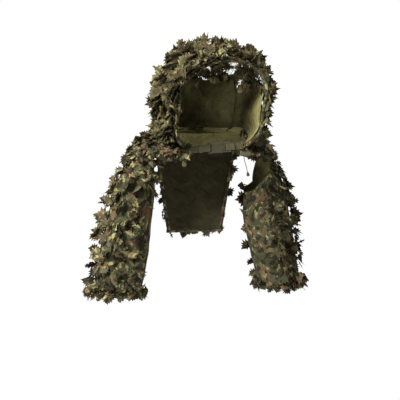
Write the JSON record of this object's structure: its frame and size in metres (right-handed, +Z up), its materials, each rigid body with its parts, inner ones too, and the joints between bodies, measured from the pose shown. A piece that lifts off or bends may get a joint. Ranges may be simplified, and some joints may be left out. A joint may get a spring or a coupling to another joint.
{
  "type": "leaf ghillie suit",
  "caption": "Camouflage hood, shoulder yoke and open-fronted sleeves covered in cut cloth leaves, closed by a webbing chest strap with a side-release buckle.",
  "frame": {"origin": "centre of the base of the wearer's neck", "axes": "+Z up, the wearer faces -Y, the wearer's left arm is at +X"},
  "size_m": [0.8488, 0.3749, 0.924],
  "materials": {
    "camo_cloth": "matte printed twill",
    "camo_leaves": "matte printed twill, cut edges",
    "camo_net": "open knitted net",
    "hem_binding": "folded printed twill",
    "olive_webbing": "ribbed webbing",
    "buckle_plastic": "fine moulded grain",
    "olive_cord": "braided",
    "cord_end_plastic": "satin moulded"
  },
  "bodies": {
    "root": {"right_front_panel": "camo_cloth", "right_shoulder_panel": "camo_cloth", "right_front_leaf_strips": "camo_leaves", "right_shoulder_leaf_strips": "camo_leaves", "left_front_panel": "camo_cloth", "left_shoulder_panel": "camo_cloth", "left_front_leaf_strips": "camo_leaves", "left_shoulder_leaf_strips": "camo_leaves", "back_yoke_panel": "camo_cloth", "neck_seam_tape": "hem_binding", "back_panel": "camo_cloth", "back_panel_hem": "hem_binding", "back_yoke_leaf_strips": "camo_leaves", "back_panel_leaf_strips": "camo_leaves", "buckle_socket": "buckle_plastic", "strap_right_webbing": "olive_webbing", "strap_left_webbing": "olive_webbing", "strap_keeper_band": "olive_webbing", "strap_right_anchor": "olive_webbing", "strap_left_anchor": "olive_webbing", "strap_tail": "olive_webbing", "drawcord_end": "olive_cord", "drawcord_bell": "cord_end_plastic", "cord_keeper_loop": "olive_webbing"},
    "hood": {"hood_crown_net": "camo_net", "hood_right_panel": "camo_cloth", "hood_left_panel": "camo_cloth", "hood_back_panel": "camo_cloth", "hood_back_net": "camo_net", "hood_rim_channel": "hem_binding", "hood_drawcord": "olive_cord", "hood_brim_leaf_strip": "camo_leaves", "hood_crown_leaf_strips": "camo_leaves", "hood_back_leaf_strips": "camo_leaves"},
    "buckle_plug": {"buckle_plug": "buckle_plastic", "strap_left_loop": "olive_webbing"},
    "buckle_upper_arm": {"buckle_upper_arm": "buckle_plastic"},
    "buckle_lower_arm": {"buckle_lower_arm": "buckle_plastic"},
    "right_sleeve": {"right_sleeve_outer_panel": "camo_cloth", "right_sleeve_underarm_panel": "camo_cloth", "right_cuff_hem": "hem_binding", "right_sleeve_cap_leaf_strips": "camo_leaves", "right_sleeve_leaf_strips": "camo_leaves", "right_cuff_leaf_fringe": "camo_leaves"},
    "left_sleeve": {"left_sleeve_outer_panel": "camo_cloth", "left_sleeve_underarm_panel": "camo_cloth", "left_cuff_hem": "hem_binding", "left_sleeve_cap_leaf_strips": "camo_leaves", "left_sleeve_leaf_strips": "camo_leaves", "left_cuff_leaf_fringe": "camo_leaves"}
  },
  "joints": [
    {"name": "hood_fold_back", "type": "hinge", "parent": "root", "child": "hood", "pos_m": [0, 0.12, 0.078], "axis": [-1, 0, 0], "range_deg": [0, 75]},
    {"name": "right_sleeve_raise", "type": "hinge", "parent": "root", "child": "right_sleeve", "pos_m": [-0.241, 0.012, 0.02], "axis": [0, 1, 0], "range_deg": [0, 70]},
    {"name": "left_sleeve_raise", "type": "hinge", "parent": "root", "child": "left_sleeve", "pos_m": [0.241, 0.012, 0.02], "axis": [0, -1, 0], "range_deg": [0, 70]},
    {"name": "buckle_plug_slide", "type": "slide", "parent": "root", "child": "buckle_plug", "axis": [0.9976, 0, 0.0698], "range_m": [0, 0.028], "deforming": ["strap_left_webbing"]},
    {"name": "buckle_upper_arm_pinch", "type": "hinge", "parent": "buckle_plug", "child": "buckle_upper_arm", "pos_m": [0.03086, -0.116, 0.02023], "axis": [0, -1, 0], "range_deg": [0, 14.2]},
    {"name": "buckle_lower_arm_pinch", "type": "hinge", "parent": "buckle_plug", "child": "buckle_lower_arm", "pos_m": [0.03232, -0.116, -0.00072], "axis": [0, 1, 0], "range_deg": [0, 14.2]}
  ],
  "couplings": [
    {"joint": "buckle_upper_arm_pinch", "follows": "buckle_plug_slide", "rad_per_m": 8.7266},
    {"joint": "buckle_lower_arm_pinch", "follows": "buckle_plug_slide", "rad_per_m": 8.7266}
  ]
}
